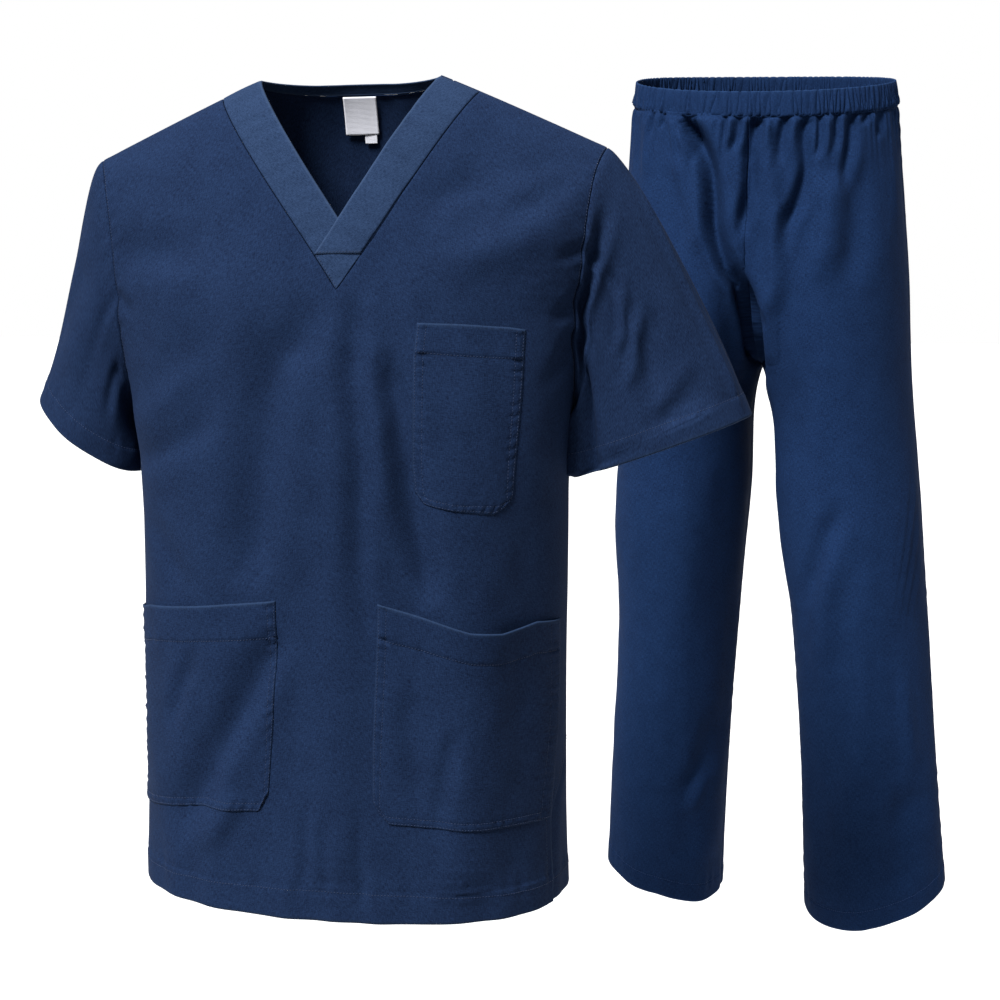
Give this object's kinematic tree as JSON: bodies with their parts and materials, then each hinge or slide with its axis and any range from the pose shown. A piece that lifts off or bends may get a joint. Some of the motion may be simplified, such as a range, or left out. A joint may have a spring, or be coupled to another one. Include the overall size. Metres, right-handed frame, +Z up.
{
  "type": "medical scrubs set (tunic and trousers)",
  "caption": "Short-sleeved V-neck scrub tunic with patch pockets and side vents, and straight-legged elasticated trousers, both hollow in worn shape.",
  "frame": {"origin": "middle of the tunic's neck, level with its two neck points on the shoulder seams, where the wearer's neck and shoulders hold the tunic up", "axes": "+Z up; the front faces -Y; +X is the wearer's left"},
  "size_m": [0.9628, 0.894, 1.0656],
  "materials": {
    "tunic_cloth": "matte navy poly-cotton plain weave, fine and slightly napped",
    "tunic_band_cloth": "the same matte navy poly-cotton, cut on the cross and folded double",
    "label_weave": "pale lilac-grey woven label tape, bare",
    "trouser_cloth": "matte navy poly-cotton plain weave, a little bluer than the tunic"
  },
  "bodies": {
    "root": {"front": "tunic_cloth", "back": "tunic_cloth", "sleeve_left": "tunic_cloth", "sleeve_right": "tunic_cloth", "pocket_chest": "tunic_cloth", "pocket_left": "tunic_cloth", "pocket_right": "tunic_cloth", "neck_band_left": "tunic_band_cloth", "neck_band_right": "tunic_band_cloth", "neck_band_back": "tunic_band_cloth", "label": "label_weave", "size_tab": "label_weave", "trouser_front_left": "trouser_cloth", "trouser_front_right": "trouser_cloth", "trouser_back_left": "trouser_cloth", "trouser_back_right": "trouser_cloth", "waistband": "trouser_cloth"}
  },
  "joints": []
}
